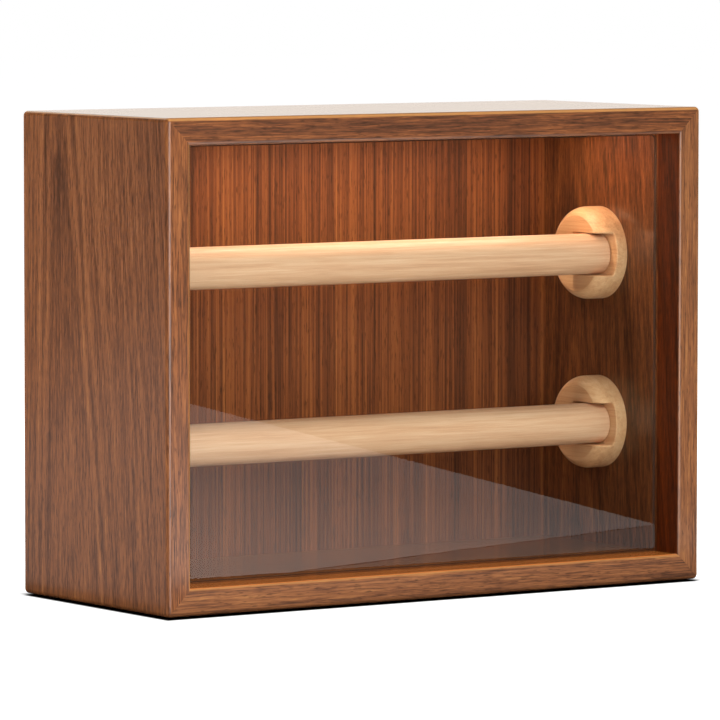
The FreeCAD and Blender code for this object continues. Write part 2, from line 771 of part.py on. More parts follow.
def make_electronics():
    board = box_between(circuit_x - circuit_width / 2, circuit_x + circuit_width / 2,
                        circuit_y, circuit_back_y,
                        unit_bottom_z + unit_wall + 0.4, unit_bottom_z + unit_wall + 0.4 + circuit_height)
    parts["control_board"] = board
    battery = box_between(battery_x - battery_width / 2, battery_x + battery_width / 2,
                          panel_back_y + unit_wall, panel_back_y + unit_wall + battery_thickness,
                          unit_bottom_z + unit_wall + 1, unit_bottom_z + unit_wall + 1 + battery_height)
    parts["battery_cell"] = rounded(battery, battery_thickness * 0.3, V(0, 0, 1))
    socket = socket_block(0.0, 0.0)
    socket = rounded(socket, socket_height * 0.4, V(0, 0, 1))
    port = box_between(circuit_x - socket_width / 2 + socket_wall, circuit_x + socket_width / 2 - socket_wall,
                       circuit_back_y + socket_wall, circuit_back_y + socket_height - socket_wall,
                       socket_bottom_z - 1, socket_bottom_z + socket_port_depth)
    port = rounded(port, (socket_height - 2 * socket_wall) * 0.4, V(0, 0, 1))
    parts["charge_socket"] = socket.cut(port)
    half = switch_width / 2
    switch = box_between(circuit_x - half, circuit_x + half, circuit_back_y, circuit_back_y + switch_height,
                         switch_z - half, switch_z + half)
    well = cylinder_from(V(circuit_x, circuit_back_y + 0.6, switch_z), V(0, 1, 0),
                         switch_plunger_diameter + 2 * button_gap, switch_height)
    parts["tact_switch"] = switch.cut(well)


def make_button():
    flange_back = cover_inner_y - 0.05
    flange_front = flange_back - button_flange_thickness
    cap = cylinder_from(V(circuit_x, flange_back, switch_z), V(0, 1, 0), button_diameter,
                        unit_back_y + button_rise - flange_back)
    rim = [edge for edge in cap.Edges if near(edge.CenterOfMass.y, unit_back_y + button_rise)]
    cap = cap.makeFillet(0.5, rim)
    flange = cylinder_from(V(circuit_x, flange_front, switch_z), V(0, 1, 0),
                           button_flange_diameter, button_flange_thickness)
    plunger_front = circuit_back_y + 0.6 + button_travel + button_gap
    plunger = cylinder_from(V(circuit_x, plunger_front, switch_z), V(0, 1, 0),
                            switch_plunger_diameter, flange_front - plunger_front)
    parts["power_button"] = cap.fuse([flange, plunger]).removeSplitter()


def make_unit_screws():
    screws = []
    for place in housing_screw_places():
        seat = V(place.x, panel_back_y + ear_thickness, place.z)
        screws.append(pan_screw(seat, V(0, -1, 0), small_screw_diameter, small_screw_head_diameter,
                                small_screw_head_height, housing_screw_length))
    parts["housing_screws"] = Part.makeCompound(screws)
    place = cover_screw_place()
    parts["cover_screw"] = countersunk_screw(V(place.x, unit_back_y, place.z), V(0, -1, 0),
                                             cover_screw_diameter, cover_screw_head_diameter,
                                             cover_screw_head_height, cover_screw_length, 0.6)


make_boards()
make_splines()
make_back_panel()
make_foot_pads()
make_brackets()
make_rods()
make_glass()
make_stile()
make_pivots()
make_catch()
make_channel()
make_led_strip()
make_lead()
make_housing()
make_cover()
make_electronics()
make_button()
make_unit_screws()

os.makedirs("parts", exist_ok=True)
for name in sorted(parts):
    shape = parts[name]
    if not shape.isValid():
        raise ValueError(name + " isn't valid")
    shape.exportStep("parts/" + name + ".step")
    print(name, len(shape.Solids), round(shape.Volume, 1))
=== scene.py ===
import math

import bpy
from mathutils import Matrix, Vector


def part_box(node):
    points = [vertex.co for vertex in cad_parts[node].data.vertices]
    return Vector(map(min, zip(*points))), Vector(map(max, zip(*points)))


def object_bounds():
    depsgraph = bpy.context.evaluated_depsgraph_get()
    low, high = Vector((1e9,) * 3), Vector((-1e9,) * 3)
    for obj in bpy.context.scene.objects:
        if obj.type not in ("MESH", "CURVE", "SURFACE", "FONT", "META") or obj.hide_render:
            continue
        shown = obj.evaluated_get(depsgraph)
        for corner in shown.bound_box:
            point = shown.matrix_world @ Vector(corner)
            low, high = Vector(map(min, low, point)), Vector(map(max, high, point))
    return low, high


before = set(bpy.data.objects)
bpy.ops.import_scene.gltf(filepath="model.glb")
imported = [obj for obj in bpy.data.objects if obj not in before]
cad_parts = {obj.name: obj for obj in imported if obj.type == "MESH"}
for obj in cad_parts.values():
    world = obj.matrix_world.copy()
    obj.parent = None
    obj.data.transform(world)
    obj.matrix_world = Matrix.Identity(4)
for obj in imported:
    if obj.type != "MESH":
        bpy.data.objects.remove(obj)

mm = 0.001
mmPerMetre = 1000
cadLow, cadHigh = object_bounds()
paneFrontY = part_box("door_glass")[0].y
scene = bpy.context.scene


# General helpers

def hexToLinear(code):
    # sRGB hex code to the linear colour that a shader socket takes
    channels = [int(code[place:place + 2], 16) / 255 for place in (0, 2, 4)]
    linear = [c / 12.92 if c <= 0.04045 else ((c + 0.055) / 1.055) ** 2.4 for c in channels]
    return (*linear, 1.0)


def addNode(tree, kind, settings=None, values=None, links=None, stops=None):
    # one node, with its settings, its socket values, its incoming links and, for a ramp, its colours
    node = tree.nodes.new(kind)
    for key, value in (settings or {}).items():
        setattr(node, key, value)
    for key, value in (values or {}).items():
        node.inputs[key].default_value = value
    for key, socket in (links or {}).items():
        tree.links.new(socket, node.inputs[key])
    if stops:
        ramp = node.color_ramp
        while len(ramp.elements) < len(stops):
            ramp.elements.new(1.0)
        for element, (position, code) in zip(ramp.elements, stops):
            element.position = position
            element.color = hexToLinear(code)
    return node


def newMaterial(name):
    material = bpy.data.materials.new(name)
    material.use_nodes = True
    material.node_tree.nodes.clear()
    return material, material.node_tree


def closeMaterial(tree, surface):
    addNode(tree, "ShaderNodeOutputMaterial", links={"Surface": surface})


def dress(material, nodes):
    # a CAD node keeps its mesh and takes the finish in its slots
    for name in nodes:
        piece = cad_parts[name]
        if not piece.material_slots:
            piece.data.materials.append(material)
        for slot in piece.material_slots:
            slot.material = material


# Camera, fitted to the case's edges in the 720 by 720 photograph

cameraLook = {
    "imageSize": 720,
    "focalPixels": 6172.33,
    "azimuth": 33.9957,  # degrees, to the left of straight in front
    "elevation": 4.1626,
    "roll": 0.0259,
    "targetX": -60.60,  # mm, on the plane of the case's front
    "targetZ": 151.79,
    "distance": 3780.6,
}


def cameraAxes(look):
    azimuth = math.radians(look["azimuth"])
    elevation = math.radians(look["elevation"])
    roll = math.radians(look["roll"])
    back = Vector((-math.sin(azimuth) * math.cos(elevation),
                   -math.cos(azimuth) * math.cos(elevation),
                   math.sin(elevation)))
    level = (-back).cross(Vector((0, 0, 1))).normalized()
    upright = level.cross(-back)
    right = level * math.cos(roll) + upright * math.sin(roll)
    up = upright * math.cos(roll) - level * math.sin(roll)
    target = Vector((look["targetX"] * mm, cadLow.y, look["targetZ"] * mm))
    return right, up, back, target + back * look["distance"] * mm


def makeCamera(look):
    right, up, back, place = cameraAxes(look)
    data = bpy.data.cameras.new("camera")
    data.sensor_width = 36
    data.lens = look["focalPixels"] / look["imageSize"] * data.sensor_width
    data.clip_end = 100
    camera = bpy.data.objects.new("camera", data)
    matrix = Matrix((right, up, back)).transposed().to_4x4()
    matrix.translation = place
    camera.matrix_world = matrix
    scene.collection.objects.link(camera)
    scene.camera = camera


makeCamera(cameraLook)
print("camera placed")


# Stage: white floor and world, soft boxes, and cards that only reflections see

def directionTo(azimuth, elevation):
    # from the case outwards: azimuth in degrees to the left of the front
    a = math.radians(azimuth)
    e = math.radians(elevation)
    return Vector((-math.sin(a) * math.cos(e), -math.cos(a) * math.cos(e), math.sin(e)))


def flatPiece(name, corners, material):
    mesh = bpy.data.meshes.new(name)
    mesh.from_pydata([tuple(corner) for corner in corners], [], [tuple(range(len(corners)))])
    piece = bpy.data.objects.new(name, mesh)
    piece.data.materials.append(material)
    scene.collection.objects.link(piece)
    return piece


def emissionMaterial(name, strength, colour="ffffff"):
    material, tree = newMaterial(name)
    glow = addNode(tree, "ShaderNodeEmission", values={"Color": hexToLinear(colour), "Strength": strength})
    closeMaterial(tree, glow.outputs["Emission"])
    return material


def onlyInReflections(piece):
    piece.visible_camera = False
    piece.visible_diffuse = False
    piece.visible_transmission = False
    piece.visible_shadow = False
    piece.visible_volume_scatter = False


def seenByEye(tree):
    # 1 for sight lines, also through the pane, and 0 for light that spreads
    path = addNode(tree, "ShaderNodeLightPath")
    direct = addNode(tree, "ShaderNodeMath", {"operation": "MAXIMUM"},
                     links={0: path.outputs["Is Camera Ray"], 1: path.outputs["Is Transmission Ray"]})
    bounces = addNode(tree, "ShaderNodeMath", {"operation": "ADD"},
                      links={0: path.outputs["Diffuse Depth"], 1: path.outputs["Glossy Depth"]})
    fresh = addNode(tree, "ShaderNodeMath", {"operation": "LESS_THAN"}, {1: 0.5}, {0: bounces.outputs[0]})
    return addNode(tree, "ShaderNodeMath", {"operation": "MULTIPLY"},
                   links={0: direct.outputs[0], 1: fresh.outputs[0]})


floorLook = {
    "reach": 12.0,  # metres
    "colour": "f4f4f4",
    "glow": 0.90,  # added for the eye, so that the paper reads as plain white
    "inset": 1.5,  # mm inside the footprint where the glow and the white begin
    "glowFade": 0.6,  # mm beyond the footprint where the glow is whole again
    "shadeFade": 12.0,  # and where the paper's painted shadow, in shadeColour, has faded out
    "shadeColour": "0a0807",
    "shadowReach": 9.0,  # mm that the painted shadow reaches to the back right, ever softer
    "shadowSoften": 5.0,
    "shadowSteps": 5,
}


def beyondFootprint(tree, look, fade):
    # 0 under the case and where its painted shadow falls to the back right, 1 a little outside that
    place = addNode(tree, "ShaderNodeTexCoord")
    nearest = None
    for step in range(look["shadowSteps"] + 1):
        part = step / look["shadowSteps"]
        shift = directionTo(180 + cameraLook["azimuth"], 0) * look["shadowReach"] * part * mm
        soft = look["shadowSoften"] * part ** 2
        moved = addNode(tree, "ShaderNodeMapping", values={"Location": -shift},
                        links={"Vector": place.outputs["Object"]})
        parts = addNode(tree, "ShaderNodeSeparateXYZ", links={"Vector": moved.outputs[0]})
        sides = []
        for axis, reach in (("X", cadHigh.x), ("Y", cadHigh.y)):
            size = addNode(tree, "ShaderNodeMath", {"operation": "ABSOLUTE"},
                           links={0: parts.outputs[axis]})
            sides.append(addNode(tree, "ShaderNodeMapRange", {"interpolation_type": "SMOOTHSTEP"},
                                 {"From Min": reach - (look["inset"] + soft) * mm,
                                  "From Max": reach + (fade + soft) * mm},
                                 {"Value": size.outputs[0]}))
        outside = addNode(tree, "ShaderNodeMath", {"operation": "MAXIMUM"},
                          links={0: sides[0].outputs[0], 1: sides[1].outputs[0]})
        nearest = outside if nearest is None else addNode(
            tree, "ShaderNodeMath", {"operation": "MINIMUM"},
            links={0: nearest.outputs[0], 1: outside.outputs[0]})
    return nearest


def makeFloor(look):
    # the paper glows white for the eye, except under the case; near the case the paper is painted dark, a
    # painted contact shadow
    material, tree = newMaterial("white_paper_floor")
    outside = beyondFootprint(tree, look, look["glowFade"])
    glow = addNode(tree, "ShaderNodeMath", {"operation": "MULTIPLY"},
                   links={0: seenByEye(tree).outputs[0], 1: outside.outputs[0]})
    glow = addNode(tree, "ShaderNodeMath", {"operation": "MULTIPLY"}, {1: look["glow"]},
                   {0: glow.outputs[0]})
    shade = beyondFootprint(tree, look, look["shadeFade"])
    tint = addNode(tree, "ShaderNodeMix", {"data_type": "RGBA"},
                   {6: hexToLinear(look["shadeColour"]), 7: hexToLinear(look["colour"])},
                   {0: shade.outputs[0]})
    paper = addNode(tree, "ShaderNodeBsdfDiffuse", links={"Color": tint.outputs[2]})
    light = addNode(tree, "ShaderNodeEmission", links={"Strength": glow.outputs[0]})
    both = addNode(tree, "ShaderNodeAddShader", links={0: paper.outputs[0], 1: light.outputs[0]})
    # black where a mirror leads to it: the glare cards stand for the lit paper there
    dark = addNode(tree, "ShaderNodeEmission", values={"Strength": 0.0})
    path = addNode(tree, "ShaderNodeLightPath")
    mirrored = addNode(tree, "ShaderNodeMath", {"operation": "GREATER_THAN"}, {1: 0.5},
                       {0: path.outputs["Glossy Depth"]})
    surface = addNode(tree, "ShaderNodeMixShader",
                      links={0: mirrored.outputs[0], 1: both.outputs[0], 2: dark.outputs[0]})
    closeMaterial(tree, surface.outputs[0])
    reach = look["reach"]
    floor = flatPiece("floor", [(-reach, -reach, 0), (reach, -reach, 0), (reach, reach, 0),
                                (-reach, reach, 0)], material)
    floor.visible_glossy = False


# the glare in the pane: its corners are pixels of the photo
glareLook = {
    "colour": "f8f5f3",
    "paneEnds": ((190.0, 560.0), (656.0, 524.5)),
    "nearest": 0.2,  # metres; from closer by, the rounded edge near the floor would mirror it
    "cards": {
        # name, corners, and strength at the pane's left and right end
        "glare_card": ([(656.0, 524.5), (100.0, 380.4), (60.0, 602.0)], (2.1, 1.35)),
        "glare_card_low": ([(900.0, 493.0), (-200.0, 637.0), (-200.0, 700.0), (900.0, 560.0)],
                           (1.0, 0.75)),
    },
}


def floorPointInPane(pixel):
    # where the sight line through a pixel of the photo, mirrored by the pane, meets the floor
    right, up, back, eye = cameraAxes(cameraLook)
    middle = cameraLook["imageSize"] / 2
    across = (pixel[0] - middle) / cameraLook["focalPixels"]
    above = (middle - pixel[1]) / cameraLook["focalPixels"]
    ray = -back + right * across + up * above
    hit = eye + ray * ((paneFrontY - eye.y) / ray.y)
    mirrored = Vector((ray.x, -ray.y, ray.z))
    return hit + mirrored * (-hit.z / mirrored.z)


def makeGlare(look):
    leftEnd, rightEnd = [floorPointInPane(pixel).x for pixel in look["paneEnds"]]
    for name, (corners, (leftStrength, rightStrength)) in look["cards"].items():
        material, tree = newMaterial(name)
        path = addNode(tree, "ShaderNodeLightPath")
        far = addNode(tree, "ShaderNodeMath", {"operation": "GREATER_THAN"}, {1: look["nearest"]},
                      {0: path.outputs["Ray Length"]})
        place = addNode(tree, "ShaderNodeTexCoord")
        parts = addNode(tree, "ShaderNodeSeparateXYZ", links={"Vector": place.outputs["Object"]})
        fading = addNode(tree, "ShaderNodeMapRange",
                         values={"From Min": leftEnd, "From Max": rightEnd,
                                 "To Min": leftStrength, "To Max": rightStrength},
                         links={"Value": parts.outputs["X"]})
        power = addNode(tree, "ShaderNodeMath", {"operation": "MULTIPLY"},
                        links={0: far.outputs[0], 1: fading.outputs["Result"]})
        glow = addNode(tree, "ShaderNodeEmission", values={"Color": hexToLinear(look["colour"])},
                       links={"Strength": power.outputs[0]})
        closeMaterial(tree, glow.outputs["Emission"])
        onlyInReflections(flatPiece(name, [floorPointInPane(pixel) for pixel in corners], material))


# plain cards, with their corners in metres
cardLooks = {
    # behind the case, mirrored by the lacquer on its top
    "back_card": {"corners": [(-0.4, 2.5, -0.05), (6.0, 2.5, -0.05), (6.0, 2.5, 2.2), (-0.4, 2.5, 2.2)],
                  "strength": 1.0, "colour": "fff6ec"},
    # the white paper left of the case, mirrored low down in its side
    "paper_card": {"corners": [(-1.6, 0.1, 0.0), (-0.24, -0.1, 0.0), (-0.24, 0.4, 0.0), (-1.6, 2.2, 0.0)],
                   "strength": 0.34, "colour": "ffffff"},
}

# beside the camera, mirrored by the rounded upright edges; metres
edgeCardLook = {"azimuth": 12, "distance": 2.2, "halfWidth": 0.8, "bottom": -0.24, "top": 1.2,
                "strength": 4.0}


def makeCards(looks, edgeLook):
    for name, look in looks.items():
        material = emissionMaterial(name, look["strength"], look["colour"])
        onlyInReflections(flatPiece(name, look["corners"], material))
    middle = directionTo(edgeLook["azimuth"], 0) * edgeLook["distance"]
    side = Vector((middle.y, -middle.x, 0)).normalized() * edgeLook["halfWidth"]
    low = Vector((0, 0, edgeLook["bottom"]))
    high = Vector((0, 0, edgeLook["top"]))
    corners = [middle - side + low, middle + side + low, middle + side + high, middle - side + high]
    onlyInReflections(flatPiece("edge_card", corners, emissionMaterial("edge_card", edgeLook["strength"])))


flagLook = {
    "gap": 0.6,  # mm beside the case
    "depth": 2.0,  # mm behind its front
    "reach": 3.0,  # metres
}


def makeFlags(look):
    # black cloth round the case, so that its top and sides don't mirror the cards in front of it
    y = cadLow.y + look["depth"] * mm
    left = cadLow.x - look["gap"] * mm
    right = cadHigh.x + look["gap"] * mm
    top = cadHigh.z + look["gap"] * mm
    reach = look["reach"]
    cloth = emissionMaterial("black_cloth", 0.0)
    for name, x0, x1, z0, z1 in (("flag_left", -reach, left, -reach, top),
                                 ("flag_right", right, reach, -reach, top),
                                 ("flag_top", -reach, reach, top, reach)):
        onlyInReflections(flatPiece(name, [(x0, y, z0), (x1, y, z0), (x1, y, z1), (x0, y, z1)], cloth))


worldLook = {"ambient": 0.11, "seen": 1.0}


def makeWorld(look):
    world = bpy.data.worlds.new("studio")
    scene.world = world
    world.use_nodes = True
    tree = world.node_tree
    tree.nodes.clear()
    strength = addNode(tree, "ShaderNodeMapRange",
                       values={"To Min": look["ambient"], "To Max": look["seen"]},
                       links={"Value": seenByEye(tree).outputs[0]})
    sky = addNode(tree, "ShaderNodeBackground", values={"Color": (1, 1, 1, 1)},
                  links={"Strength": strength.outputs["Result"]})
    addNode(tree, "ShaderNodeOutputWorld", links={"Surface": sky.outputs[0]})
    world.cycles_visibility.glossy = False


# soft boxes round the case, aimed at its middle; metres and watts
lampLooks = {
    "keySoftbox": {"azimuth": -9, "elevation": 20, "distance": 2.4, "size": (1.2, 1.0), "power": 35},
    "highSoftbox": {"azimuth": 22, "elevation": 36, "distance": 2.0, "size": (0.7, 0.7), "power": 9},
    "lowFill": {"azimuth": 36, "elevation": 2, "distance": 0.62, "size": (0.3, 0.2), "power": 0.9},
    "leftSoftbox": {"azimuth": 127, "elevation": 0, "distance": 1.1, "size": (0.6, 0.6), "power": 11.4},
    "overhead": {"azimuth": 0, "elevation": 80, "distance": 2.2, "size": (0.9, 0.9), "power": 46},
}

# the case's own light, just under its opal cover; mm
ledLook = {"power": 0.34, "colour": "efddc6", "width": 12.0, "endGap": 2.0, "drop": 0.6}

# the cover also shines sideways, which a lamp that looks down leaves out; places and sizes in mm
sideGlows = {
    "glowOnWall": {"place": (135.0, -36.0, 273.0), "size": (70.0, 14.0), "facing": (1, 0, 0),
                   "power": 0.033, "colour": "ffb674"},
    "glowOnPanel": {"place": (0.0, 18.0, 276.0), "size": (330.0, 10.0), "facing": (0, 1, 0),
                    "power": 0.035, "colour": "ffc890"},
}


def areaLamp(name, size, power, place, away, colour="ffffff", mirrored=False):
    # away points from what the lamp lights back to the lamp
    data = bpy.data.lights.new(name, "AREA")
    data.shape = "RECTANGLE"
    data.size, data.size_y = size
    data.energy = power
    data.color = hexToLinear(colour)[:3]
    lamp = bpy.data.objects.new(name, data)
    lamp.location = place
    lamp.rotation_euler = away.to_track_quat("Z", "Y").to_euler()
    lamp.visible_glossy = mirrored
    lamp.visible_transmission = mirrored
    scene.collection.objects.link(lamp)


def makeLamps(boxes, led, glows):
    middle = Vector((0, 0, cadHigh.z / 2))
    for name, look in boxes.items():
        away = directionTo(look["azimuth"], look["elevation"])
        areaLamp(name, look["size"], look["power"], middle + away * look["distance"], away)
    low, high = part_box("led_diffuser")
    length = high.x - low.x - 2 * led["endGap"] * mm
    under = Vector(((low.x + high.x) / 2, (low.y + high.y) / 2, low.z - led["drop"] * mm))
    areaLamp("ledLamp", (length, led["width"] * mm), led["power"], under, Vector((0, 0, 1)),
             led["colour"], mirrored=True)
    for name, look in glows.items():
        areaLamp(name, [size * mm for size in look["size"]], look["power"], Vector(look["place"]) * mm,
                 -Vector(look["facing"]), look["colour"])


makeFloor(floorLook)
makeGlare(glareLook)
makeCards(cardLooks, edgeCardLook)
makeFlags(flagLook)
makeWorld(worldLook)
makeLamps(lampLooks, ledLook, sideGlows)
scene.view_settings.view_transform = "Standard"
print("stage lit")


# Walnut: sliced veneer under satin lacquer, so fine dark pores run along soft brown streaks

walnutLook = {
    # from the darkest streak to the lightest
    "tones": [(0.05, "25140c"), (0.32, "4f3120"), (0.5, "74472a"), (0.66, "8c5a34"), (0.95, "ad7a44")],
    "pore": "25140c",
    "poreWidth": 0.8,  # mm; real pores are about 0.2, drawn coarser so that they show
    "poreLength": 7.0,
    "poreShare": (0.58, 0.72),  # of the noise, where a pore begins and where it is fully open
    "poreDark": 0.5,
    "edge": "c8955c",  # painted highlight on the rounded edges that face up or right, where the lamps light them
    "wallWarmLight": "ffedda",  # painted warm light on the right board's inner face
    "stripShade": "c6953e",  # and painted shade on its strip before the pane, darker and more orange; that strip is not lacquered
    "lip": "c8702a",  # painted warm light on the bottom board's strip before the pane
    "lipWeight": 0.6,
    "roughness": 0.5,
    "roughnessSpread": 0.06,
    "grainRelief": (0.35, 0.06),  # strength, and depth in mm
    "ior": 1.5,
    "specular": 0.2,
}

# one veneer leaf for each board: the way its grain runs, where it was cut, its tone and tint,
# how strong the painted highlight on its rounded edges is, and its lacquer's weight and roughness
veneerLeaves = {
    "side_board_left": {"grain": "Z", "offset": (0.31, 0.17, 0.62), "tone": 0.48, "tint": "fff4e4",
                        "edgeHighlightWeight": 0.6, "coat": (1.0, 0.16)},
    # the right board's broad faces start from a darker tone, painted shade on its inner wall
    "side_board_right": {"grain": "Z", "offset": (1.73, 0.55, 1.21), "tone": 0.51, "shadedFaceTone": 0.42,
                         "edgeHighlightWeight": 0.5, "coat": (1.0, 0.16)},
    "top_board": {"grain": "X", "offset": (2.41, 1.08, 0.33), "tone": 0.42, "tint": "fff6ec",
                  "edgeHighlightWeight": 0.5, "coat": (1.0, 0.12)},
    "bottom_board": {"grain": "X", "offset": (0.92, 2.14, 1.77), "tone": 0.50,
                     "edgeHighlightWeight": 0.25, "coat": (1.0, 0.16)},
    # the back panel's redder tint is painted warm light from the case's lamp
    "back_panel": {"grain": "Z", "offset": (3.35, 1.66, 2.02), "tone": 0.49, "tint": "ffe5d4",
                   "coat": (0.0, 0.3)},
}

# layers of streaks: width and length in mm, and how much the layer shifts the tone
edgeStreaks = [(7.0, 260.0, 0.45), (2.4, 70.0, 0.40), (0.9, 30.0, 0.80), (0.6, 9.0, 0.50)]
faceStreaks = [(26.0, 500.0, 0.20), (5.0, 160.0, 0.16), (1.1, 45.0, 0.50), (0.7, 8.0, 0.60)]
panelStreaks = [(22.0, 1500.0, 0.35), (5.0, 900.0, 0.50), (1.6, 400.0, 0.90), (0.8, 90.0, 0.60)]

# flat-cut figure of the side boards: tall arches that open downwards, in mm
archLook = {
    "centreY": 25.0,
    "lean": 0.048,  # of the height
    "depth": 16.0,
    "rise": 0.073,
    "wobble": 9.0,
    "wobbleGrain": (22.0, 180.0),
    "bands": [(15.0, 0.20), (4.2, 0.34)],  # spacing, and how much the band shifts the tone
    "ringShift": 10.0,  # times the leaf's offset, so that each board starts at another ring
}

streakNoise = {"Scale": 1.0, "Detail": 3.0, "Roughness": 0.6, "Distortion": 0.15}


def alongGrain(tree, place, grain, width, length, offset):
    # object coordinates scaled so that one unit is one streak's width or length
    scale = [mmPerMetre / width] * 3
    scale["XYZ".index(grain)] = mmPerMetre / length
    return addNode(tree, "ShaderNodeMapping", values={"Scale": scale, "Location": offset},
                   links={"Vector": place.outputs["Object"]})


def grainLayers(tree, place, leaf, layers, tone):
    for width, length, amount in layers:
        where = alongGrain(tree, place, leaf["grain"], width, length, leaf["offset"])
        noise = addNode(tree, "ShaderNodeTexNoise", values=streakNoise, links={"Vector": where.outputs[0]})
        centred = addNode(tree, "ShaderNodeMath", {"operation": "SUBTRACT"}, {1: 0.5},
                          {0: noise.outputs["Fac"]})
        tone = addNode(tree, "ShaderNodeMath", {"operation": "MULTIPLY_ADD"}, {1: amount},
                       {0: centred.outputs[0], 2: tone.outputs[0]})
    return tone


def archFigure(tree, place, leaf, tone, look):
    # bands that follow the year rings where a flat cut meets them
    parts = addNode(tree, "ShaderNodeSeparateXYZ", links={"Vector": place.outputs["Object"]})
    lean = addNode(tree, "ShaderNodeMath", {"operation": "MULTIPLY_ADD"},
                   {1: -mmPerMetre * look["lean"], 2: -look["centreY"]}, {0: parts.outputs["Z"]})
    across = addNode(tree, "ShaderNodeMath", {"operation": "MULTIPLY_ADD"}, {1: mmPerMetre},
                     {0: parts.outputs["Y"], 2: lean.outputs[0]})
    squared = addNode(tree, "ShaderNodeMath", {"operation": "MULTIPLY_ADD"}, {2: look["depth"] ** 2},
                      {0: across.outputs[0], 1: across.outputs[0]})
    ring = addNode(tree, "ShaderNodeMath", {"operation": "SQRT"}, links={0: squared.outputs[0]})
    rising = addNode(tree, "ShaderNodeMath", {"operation": "MULTIPLY_ADD"}, {1: mmPerMetre * look["rise"]},
                     {0: parts.outputs["Z"], 2: ring.outputs[0]})
    where = alongGrain(tree, place, leaf["grain"], *look["wobbleGrain"], leaf["offset"])
    noise = addNode(tree, "ShaderNodeTexNoise", values={"Scale": 1.0, "Detail": 2.0},
                    links={"Vector": where.outputs[0]})
    wobbled = addNode(tree, "ShaderNodeMath", {"operation": "MULTIPLY_ADD"}, {1: look["wobble"]},
                      {0: noise.outputs["Fac"], 2: rising.outputs[0]})
    for spacing, amount in look["bands"]:
        scaled = addNode(tree, "ShaderNodeMath", {"operation": "MULTIPLY_ADD"},
                         {1: 1 / spacing, 2: leaf["offset"][0] * look["ringShift"]},
                         {0: wobbled.outputs[0]})
        band = addNode(tree, "ShaderNodeTexNoise", {"noise_dimensions": "1D"},
                       {"Scale": 1.0, "Detail": 2.0, "Roughness": 0.5}, {"W": scaled.outputs[0]})
        centred = addNode(tree, "ShaderNodeMath", {"operation": "SUBTRACT"}, {1: 0.5},
                          {0: band.outputs["Fac"]})
        tone = addNode(tree, "ShaderNodeMath", {"operation": "MULTIPLY_ADD"}, {1: amount},
                       {0: centred.outputs[0], 2: tone.outputs[0]})
    return tone


def broadFaces(tree, axis):
    # 1 on the faces that look along an axis, 0 on the board's edges
    geometry = addNode(tree, "ShaderNodeNewGeometry")
    facing = addNode(tree, "ShaderNodeSeparateXYZ", links={"Vector": geometry.outputs["Normal"]})
    size = addNode(tree, "ShaderNodeMath", {"operation": "ABSOLUTE"}, links={0: facing.outputs[axis]})
    return addNode(tree, "ShaderNodeMapRange", {"interpolation_type": "SMOOTHSTEP"},
                   {"From Min": 0.55, "From Max": 0.85}, {"Value": size.outputs[0]})


def edgeHighlightMask(tree, weight):
    # mask of the painted edge highlight: grows where the normal leaves all three axes, so only on the
    # rounded edges, and of these on the ones that face up or right, towards the lamps
    place = addNode(tree, "ShaderNodeTexCoord")
    parts = addNode(tree, "ShaderNodeSeparateXYZ", links={"Vector": place.outputs["Normal"]})
    upRight = addNode(tree, "ShaderNodeMath", {"operation": "ADD"},
                      links={0: parts.outputs["X"], 1: parts.outputs["Z"]})
    upRight = addNode(tree, "ShaderNodeMapRange", {"interpolation_type": "SMOOTHSTEP"},
                      {"From Min": -0.1, "From Max": 0.3, "To Max": weight}, {"Value": upRight.outputs[0]})
    largest = None
    for axis in "XYZ":
        size = addNode(tree, "ShaderNodeMath", {"operation": "ABSOLUTE"}, links={0: parts.outputs[axis]})
        largest = size if largest is None else addNode(
            tree, "ShaderNodeMath", {"operation": "MAXIMUM"},
            links={0: largest.outputs[0], 1: size.outputs[0]})
    between = addNode(tree, "ShaderNodeMapRange", {"interpolation_type": "SMOOTHSTEP"},
                      {"From Min": 0.99, "From Max": 0.85}, {"Value": largest.outputs[0]})
    return addNode(tree, "ShaderNodeMath", {"operation": "MULTIPLY"},
                   links={0: between.outputs[0], 1: upRight.outputs[0]})


def beforePane(tree, place):
    # 1 where the board lies before the pane
    parts = addNode(tree, "ShaderNodeSeparateXYZ", links={"Vector": place.outputs["Object"]})
    return addNode(tree, "ShaderNodeMath", {"operation": "LESS_THAN"}, {1: paneFrontY},
                   {0: parts.outputs["Y"]})


def innerFace(tree, place, axis, sign):
    # 1 on the board's face that looks into the case, and growing from a normal of 0.7 to 0.9 that way
    facing = addNode(tree, "ShaderNodeSeparateXYZ", links={"Vector": place.outputs["Normal"]})
    inward = addNode(tree, "ShaderNodeMath", {"operation": "MULTIPLY_ADD"}, {1: sign * 5.0, 2: -3.5},
                     {0: facing.outputs[axis]})
    inward.use_clamp = True
    return inward


def innerStrip(tree, place, axis, sign):
    # the inner face where it lies before the pane
    before = beforePane(tree, place)
    inward = innerFace(tree, place, axis, sign)
    return addNode(tree, "ShaderNodeMath", {"operation": "MULTIPLY"},
                   links={0: before.outputs[0], 1: inward.outputs[0]})


def boardTone(tree, place, leaf, name):
    start = addNode(tree, "ShaderNodeValue")
    start.outputs[0].default_value = leaf["tone"]
    if name == "back_panel":
        return grainLayers(tree, place, leaf, panelStreaks, start)
    edge = grainLayers(tree, place, leaf, edgeStreaks, start)
    if leaf["grain"] == "X":
        return edge
    # the right board's faces start darker: painted shade on its inner wall
    faceStart = addNode(tree, "ShaderNodeValue")
    faceStart.outputs[0].default_value = leaf.get("shadedFaceTone", leaf["tone"])
    face = archFigure(tree, place, leaf, grainLayers(tree, place, leaf, faceStreaks, faceStart), archLook)
    return addNode(tree, "ShaderNodeMix", {"data_type": "FLOAT"},
                   links={0: broadFaces(tree, "X").outputs["Result"], 2: edge.outputs[0],
                          3: face.outputs[0]})


